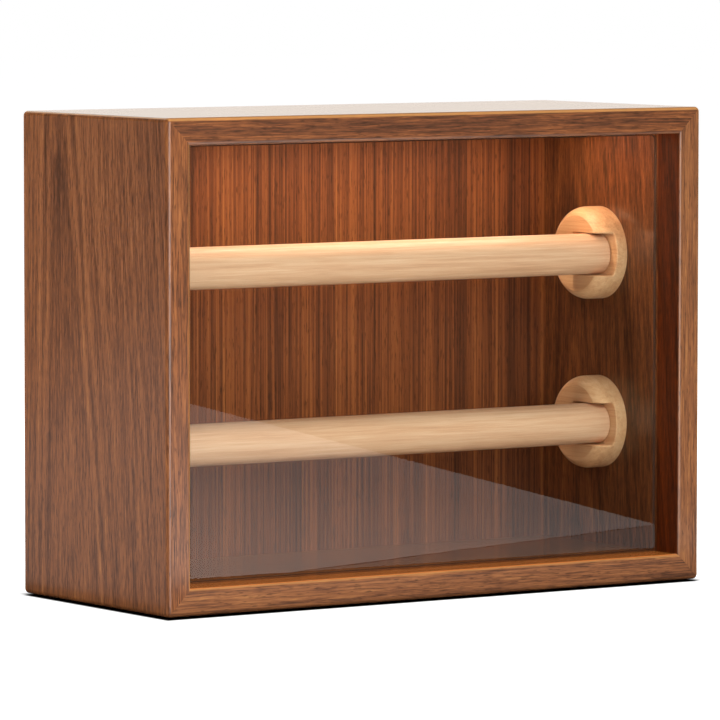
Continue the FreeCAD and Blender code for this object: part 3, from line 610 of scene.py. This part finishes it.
def walnut(name, leaf, look):
    material, tree = newMaterial("walnut_veneer_lacquered_" + name)
    place = addNode(tree, "ShaderNodeTexCoord")
    tone = boardTone(tree, place, leaf, name)
    wood = addNode(tree, "ShaderNodeValToRGB", links={"Fac": tone.outputs[0]}, stops=look["tones"])
    where = alongGrain(tree, place, leaf["grain"], look["poreWidth"], look["poreLength"], leaf["offset"])
    pores = addNode(tree, "ShaderNodeTexNoise", values={"Scale": 1.0, "Detail": 1.0},
                    links={"Vector": where.outputs[0]})
    poreStart, poreFull = look["poreShare"]
    opened = addNode(tree, "ShaderNodeMapRange", {"interpolation_type": "SMOOTHSTEP"},
                     {"From Min": poreStart, "From Max": poreFull, "To Max": look["poreDark"]},
                     {"Value": pores.outputs["Fac"]})
    # what goes over the wood: how it blends, its colour and where it lies
    layers = [("MIX", look["pore"], opened)]
    if "edgeHighlightWeight" in leaf:
        # painted highlight on the rounded edges that face up or right
        layers.append(("MIX", look["edge"], edgeHighlightMask(tree, leaf["edgeHighlightWeight"])))
    if name == "side_board_right":
        strip = innerStrip(tree, place, "X", -1)
        # painted warm light on the right board's inner face
        layers.append(("MULTIPLY", look["wallWarmLight"], innerFace(tree, place, "X", -1)))
        # painted shade, darker and more orange, on the strip before the pane
        layers.append(("MULTIPLY", look["stripShade"], strip))
    if name == "bottom_board":
        # painted warm light on the bottom board's strip before the pane
        lip = addNode(tree, "ShaderNodeMath", {"operation": "MULTIPLY"}, {1: look["lipWeight"]},
                      {0: innerStrip(tree, place, "Z", 1).outputs[0]})
        layers.append(("MIX", look["lip"], lip))
    # each leaf's tint; the back panel's redder one is painted warm light
    if "tint" in leaf:
        layers.append(("MULTIPLY", leaf["tint"], None))
    colour = wood.outputs["Color"]
    for blend, code, mask in layers:
        links = {0: mask.outputs[0], 6: colour} if mask else {6: colour}
        colour = addNode(tree, "ShaderNodeMix", {"data_type": "RGBA", "blend_type": blend},
                         {0: 1.0, 7: hexToLinear(code)}, links).outputs[2]
    rough = addNode(tree, "ShaderNodeMapRange",
                    values={"To Min": look["roughness"] + look["roughnessSpread"],
                            "To Max": look["roughness"] - look["roughnessSpread"]},
                    links={"Value": tone.outputs[0]})
    height = addNode(tree, "ShaderNodeMath", {"operation": "MULTIPLY_ADD"}, {1: -1.0},
                     {0: opened.outputs["Result"], 2: tone.outputs[0]})
    strength, depth = look["grainRelief"]
    bump = addNode(tree, "ShaderNodeBump", values={"Strength": strength, "Distance": depth * mm},
                   links={"Height": height.outputs[0]})
    coatWeight, coatRoughness = leaf["coat"]
    shader = addNode(tree, "ShaderNodeBsdfPrincipled",
                     values={"IOR": look["ior"], "Specular IOR Level": look["specular"],
                             "Coat Weight": coatWeight, "Coat Roughness": coatRoughness},
                     links={"Base Color": colour, "Roughness": rough.outputs["Result"],
                            "Normal": bump.outputs[0]})
    surface = shader
    if name == "side_board_right":
        # no lacquer on the strip before the pane, so that it mirrors nothing
        lacquered = addNode(tree, "ShaderNodeMath", {"operation": "SUBTRACT"}, {0: coatWeight},
                            {1: strip.outputs[0]})
        tree.links.new(lacquered.outputs[0], shader.inputs["Coat Weight"])
        # the board before the pane lets mirror rays pass, so that the glare reaches the pane's end
        path = addNode(tree, "ShaderNodeLightPath")
        before = beforePane(tree, place)
        letThrough = addNode(tree, "ShaderNodeMath", {"operation": "MULTIPLY"},
                             links={0: before.outputs[0], 1: path.outputs["Is Glossy Ray"]})
        clear = addNode(tree, "ShaderNodeBsdfTransparent")
        surface = addNode(tree, "ShaderNodeMixShader",
                          links={0: letThrough.outputs[0], 1: shader.outputs[0], 2: clear.outputs[0]})
    closeMaterial(tree, surface.outputs[0])
    return material


for boardName, leaf in veneerLeaves.items():
    dress(walnut(boardName, leaf, walnutLook), [boardName])
print("walnut on")


# Beech: turned and oiled, so pale, with short fine flecks along the grain and a soft sheen

beechLook = {
    "rod": [(0.15, "b57c57"), (0.5, "d9a782"), (0.85, "ebc4a2")],
    "bracket": [(0.15, "aa7247"), (0.5, "dca576"), (0.85, "efc497")],  # warmer: painted warm light, bounced from the walnut walls
    "tone": 0.55,
    "streaks": [(9.0, 240.0, 0.50), (2.2, 90.0, 0.50), (0.9, 30.0, 0.45)],  # as in the walnut's lists
    "roughness": 0.45,
    "roughnessSpread": 0.05,
    "grainRelief": (0.2, 0.03),  # strength, and depth in mm
    "ior": 1.5,
    "specular": 0.4,
}

# one piece of timber each: its colours, the way its grain runs, where it was cut, and its nodes
beechPieces = {
    "upper_rod": ("rod", "X", (0.2, 0.4, 0.9), ["upper_rod"]),
    "lower_rod": ("rod", "X", (1.3, 2.2, 0.1), ["lower_rod", "bracket_dowels"]),
    "brackets": ("bracket", "Y", (2.7, 0.8, 1.5),
                 ["bracket_upper_left", "bracket_upper_right", "bracket_lower_left",
                  "bracket_lower_right"]),
}


def beech(name, colours, grain, offset, look):
    material, tree = newMaterial("beech_turned_oiled_" + name)
    place = addNode(tree, "ShaderNodeTexCoord")
    start = addNode(tree, "ShaderNodeValue")
    start.outputs[0].default_value = look["tone"]
    tone = grainLayers(tree, place, {"grain": grain, "offset": offset}, look["streaks"], start)
    wood = addNode(tree, "ShaderNodeValToRGB", links={"Fac": tone.outputs[0]}, stops=look[colours])
    strength, depth = look["grainRelief"]
    bump = addNode(tree, "ShaderNodeBump", values={"Strength": strength, "Distance": depth * mm},
                   links={"Height": tone.outputs[0]})
    rough = addNode(tree, "ShaderNodeMapRange",
                    values={"To Min": look["roughness"] + look["roughnessSpread"],
                            "To Max": look["roughness"] - look["roughnessSpread"]},
                    links={"Value": tone.outputs[0]})
    shader = addNode(tree, "ShaderNodeBsdfPrincipled",
                     values={"IOR": look["ior"], "Specular IOR Level": look["specular"]},
                     links={"Base Color": wood.outputs["Color"], "Roughness": rough.outputs["Result"],
                            "Normal": bump.outputs[0]})
    closeMaterial(tree, shader.outputs[0])
    return material


for pieceName, (colours, grain, offset, nodes) in beechPieces.items():
    dress(beech(pieceName, colours, grain, offset, beechLook), nodes)
print("beech on")


# Glass: polished float glass, so clear with a sharp mirror image; its matt ground edges are painted dark,
# a painted reflection of the case

glassLook = {
    "face": "fbfdfc",
    "facing": 0.9,  # of the normal along Y, above which it is a face and not an edge
    "edge": "43281a",
    "edgeRoughness": 0.5,
    "passing": "f2f6f4",  # what light that spreads keeps on its way through
    "ior": 1.5,
}


def floatGlass(look):
    material, tree = newMaterial("float_glass_polished")
    path = addNode(tree, "ShaderNodeLightPath")
    place = addNode(tree, "ShaderNodeTexCoord")
    facing = addNode(tree, "ShaderNodeSeparateXYZ", links={"Vector": place.outputs["Normal"]})
    size = addNode(tree, "ShaderNodeMath", {"operation": "ABSOLUTE"}, links={0: facing.outputs["Y"]})
    broad = addNode(tree, "ShaderNodeMath", {"operation": "GREATER_THAN"}, {1: look["facing"]},
                    {0: size.outputs[0]})
    # the edges are painted dark brown, a painted reflection of the dark case they show
    tint = addNode(tree, "ShaderNodeMix", {"data_type": "RGBA"},
                   {6: hexToLinear(look["edge"]), 7: hexToLinear(look["face"])}, {0: broad.outputs[0]})
    rough = addNode(tree, "ShaderNodeMapRange", values={"To Min": look["edgeRoughness"], "To Max": 0.0},
                    links={"Value": broad.outputs[0]})
    # the weight stands on the socket too, for viewers that don't read what is linked to it
    glass = addNode(tree, "ShaderNodeBsdfPrincipled",
                    values={"IOR": look["ior"], "Transmission Weight": 1.0},
                    links={"Base Color": tint.outputs[2], "Roughness": rough.outputs["Result"],
                           "Transmission Weight": broad.outputs[0]})
    # the lamps' light passes straight, so that the pane throws no dark shadow into the case
    clear = addNode(tree, "ShaderNodeBsdfTransparent", values={"Color": hexToLinear(look["passing"])})
    lighting = addNode(tree, "ShaderNodeMath", {"operation": "MAXIMUM"},
                       links={0: path.outputs["Is Shadow Ray"], 1: path.outputs["Is Diffuse Ray"]})
    passes = addNode(tree, "ShaderNodeMixShader",
                     links={0: lighting.outputs[0], 1: glass.outputs[0], 2: clear.outputs[0]})
    closeMaterial(tree, passes.outputs[0])
    return material


dress(floatGlass(glassLook), ["door_glass"])
print("glass on")


# Small fittings: one finish each, with a fine mottle in colour, roughness and relief

mottleLook = {
    "detail": 3.0,
    "coarseness": 0.6,
    "stops": (0.3, 0.7),
    "roughnessSpread": 0.06,
    "reliefStrength": 0.5,
    "ior": 1.5,
}

# colours, the mottle's size along X, Y and Z in mm, and its relief in mm
fittingFinishes = {
    "aluminium_bronze_anodised": {  # satin, with faint lines of the drawn section
        "nodes": ["door_stile"], "colours": ("33251b", "46342a"), "metallic": 1.0,
        "roughness": 0.34, "mottle": (0.35, 60.0, 0.35), "relief": 0.01},
    "aluminium_satin_anodised": {  # dull silver, with the same faint lines
        "nodes": ["led_channel"], "colours": ("a9a9a7", "c4c4c1"), "metallic": 1.0,
        "roughness": 0.36, "mottle": (60.0, 0.35, 0.35), "relief": 0.01},
    "steel_zinc_plated": {  # bright grey, slightly cloudy
        "nodes": ["bracket_screws", "led_screws", "housing_screws", "cover_screw", "pivot_pin_upper",
                  "pivot_pin_lower"],
        "colours": ("9fa1a0", "b9bab8"), "metallic": 1.0, "roughness": 0.28,
        "mottle": (1.2, 1.2, 1.2), "relief": 0.01},
    "steel_nickel_plated": {  # warm and nearly mirror bright
        "nodes": ["upper_rod_magnets", "lower_rod_magnets", "catch_magnet"],
        "colours": ("b3b0a8", "c6c3bb"), "metallic": 1.0, "roughness": 0.18,
        "mottle": (2.0, 2.0, 2.0), "relief": 0.006},
    "steel_brushed": {  # fine lines that spread the highlight
        "nodes": ["keeper_strip", "charge_socket"], "colours": ("93938f", "adada8"), "metallic": 1.0,
        "roughness": 0.32, "mottle": (20.0, 0.3, 0.3), "relief": 0.008},
    "nylon_moulded_brown": {  # smooth, with a soft highlight
        "nodes": ["pivot_bush_upper", "pivot_bush_lower"], "colours": ("33241a", "3f2e22"),
        "metallic": 0.0, "roughness": 0.5, "mottle": (0.8, 0.8, 0.8), "relief": 0.02},
    "silicone_brown_matt": {  # rubbery, with hardly any highlight
        "nodes": ["door_stop"], "colours": ("2a1a12", "36241a"), "metallic": 0.0, "roughness": 0.7,
        "mottle": (1.0, 1.0, 1.0), "relief": 0.01},
    "felt_pressed_brown": {  # matted fibres, so a soft uneven surface
        "nodes": ["foot_pad_front_left", "foot_pad_front_right", "foot_pad_back_left",
                  "foot_pad_back_right"],
        "colours": ("241d18", "3a3029"), "metallic": 0.0, "roughness": 0.95,
        "mottle": (0.5, 0.5, 0.5), "relief": 0.15},
    "birch_plywood_bare": {  # pale, sawn and unfinished
        "nodes": ["corner_spline_top_left", "corner_spline_top_right", "corner_spline_bottom_left",
                  "corner_spline_bottom_right"],
        "colours": ("b89a6c", "d6bc90"), "metallic": 0.0, "roughness": 0.75,
        "mottle": (0.6, 30.0, 0.6), "relief": 0.03},
    "polycarbonate_grey_moulded": {  # even grey with a low sheen
        "nodes": ["led_end_cap_left", "led_end_cap_right"], "colours": ("858583", "969694"),
        "metallic": 0.0, "roughness": 0.5, "mottle": (0.7, 0.7, 0.7), "relief": 0.02},
    "solder_mask_white": {  # glossy lacquer over the copper
        "nodes": ["led_board"], "colours": ("dcdcd6", "ebebe6"), "metallic": 0.0, "roughness": 0.35,
        "mottle": (3.0, 3.0, 3.0), "relief": 0.01},
    "solder_mask_green": {  # dark and glossy
        "nodes": ["control_board"], "colours": ("0c3d22", "13522f"), "metallic": 0.0, "roughness": 0.3,
        "mottle": (2.0, 2.0, 2.0), "relief": 0.02},
    "abs_textured_black": {  # spark-eroded mould texture, so a fine grey speckle
        "nodes": ["control_housing", "control_cover", "tact_switch"], "colours": ("151413", "201f1d"),
        "metallic": 0.0, "roughness": 0.6, "mottle": (0.6, 0.6, 0.6), "relief": 0.05},
    "abs_moulded_grey": {  # smooth and satin
        "nodes": ["power_button"], "colours": ("5b5955", "6b6965"), "metallic": 0.0, "roughness": 0.45,
        "mottle": (0.6, 0.6, 0.6), "relief": 0.03},
    "pvc_extruded_dark": {  # smooth sheath with long faint ripples
        "nodes": ["led_lead"], "colours": ("1c1714", "282220"), "metallic": 0.0, "roughness": 0.42,
        "mottle": (0.8, 6.0, 6.0), "relief": 0.02},
    "foil_pouch_silver": {  # soft laminate, a little crumpled
        "nodes": ["battery_cell"], "colours": ("a9aaad", "c8c9cb"), "metallic": 0.8, "roughness": 0.3,
        "mottle": (5.0, 5.0, 5.0), "relief": 0.05},
}


def fitting(name, look, mottle):
    material, tree = newMaterial(name)
    place = addNode(tree, "ShaderNodeTexCoord")
    where = addNode(tree, "ShaderNodeMapping",
                    values={"Scale": [mmPerMetre / size for size in look["mottle"]]},
                    links={"Vector": place.outputs["Object"]})
    noise = addNode(tree, "ShaderNodeTexNoise",
                    values={"Scale": 1.0, "Detail": mottle["detail"], "Roughness": mottle["coarseness"]},
                    links={"Vector": where.outputs[0]})
    tint = addNode(tree, "ShaderNodeValToRGB", links={"Fac": noise.outputs["Fac"]},
                   stops=list(zip(mottle["stops"], look["colours"])))
    rough = addNode(tree, "ShaderNodeMapRange",
                    values={"To Min": look["roughness"] - mottle["roughnessSpread"],
                            "To Max": look["roughness"] + mottle["roughnessSpread"]},
                    links={"Value": noise.outputs["Fac"]})
    bump = addNode(tree, "ShaderNodeBump",
                   values={"Strength": mottle["reliefStrength"], "Distance": look["relief"] * mm},
                   links={"Height": noise.outputs["Fac"]})
    shader = addNode(tree, "ShaderNodeBsdfPrincipled",
                     values={"Metallic": look["metallic"], "IOR": mottle["ior"]},
                     links={"Base Color": tint.outputs["Color"], "Roughness": rough.outputs["Result"],
                            "Normal": bump.outputs[0]})
    closeMaterial(tree, shader.outputs[0])
    return material


for finishName, finish in fittingFinishes.items():
    dress(fitting(finishName, finish, mottleLook), finish["nodes"])
print("fittings on")


# Lit parts: the extruded opal cover, milky and warm, and the lamps' yellow gel behind it

glowLook = {
    "shade": "efe0c8",  # the darker end of the faint mottle
    "stops": (0.2, 0.8),
    "mottle": 2.5,  # mm
    "detail": 2.0,
    "roughness": (0.35, 0.5),
    "relief": (0.2, 0.02),  # strength, and depth in mm
    "ior": 1.58,
}

glowFinishes = {
    "polycarbonate_opal_lit": {"nodes": ["led_diffuser"], "colour": "fff1dc", "glow": "ffcf96",
                               "strength": 1.6},
    "phosphor_gel_lit": {"nodes": ["led_chips"], "colour": "f2d070", "glow": "ffd9a0",
                         "strength": 2.0},
}


def litPlastic(name, finish, look):
    material, tree = newMaterial(name)
    place = addNode(tree, "ShaderNodeTexCoord")
    noise = addNode(tree, "ShaderNodeTexNoise",
                    values={"Scale": mmPerMetre / look["mottle"], "Detail": look["detail"]},
                    links={"Vector": place.outputs["Object"]})
    tint = addNode(tree, "ShaderNodeValToRGB", links={"Fac": noise.outputs["Fac"]},
                   stops=list(zip(look["stops"], (look["shade"], finish["colour"]))))
    smooth, dull = look["roughness"]
    rough = addNode(tree, "ShaderNodeMapRange", values={"To Min": smooth, "To Max": dull},
                    links={"Value": noise.outputs["Fac"]})
    strength, depth = look["relief"]
    bump = addNode(tree, "ShaderNodeBump", values={"Strength": strength, "Distance": depth * mm},
                   links={"Height": noise.outputs["Fac"]})
    shader = addNode(tree, "ShaderNodeBsdfPrincipled",
                     values={"IOR": look["ior"], "Emission Color": hexToLinear(finish["glow"]),
                             "Emission Strength": finish["strength"]},
                     links={"Base Color": tint.outputs["Color"], "Roughness": rough.outputs["Result"],
                            "Normal": bump.outputs[0]})
    closeMaterial(tree, shader.outputs[0])
    return material


for finishName, finish in glowFinishes.items():
    dress(litPlastic(finishName, finish, glowLook), finish["nodes"])
print("light on")
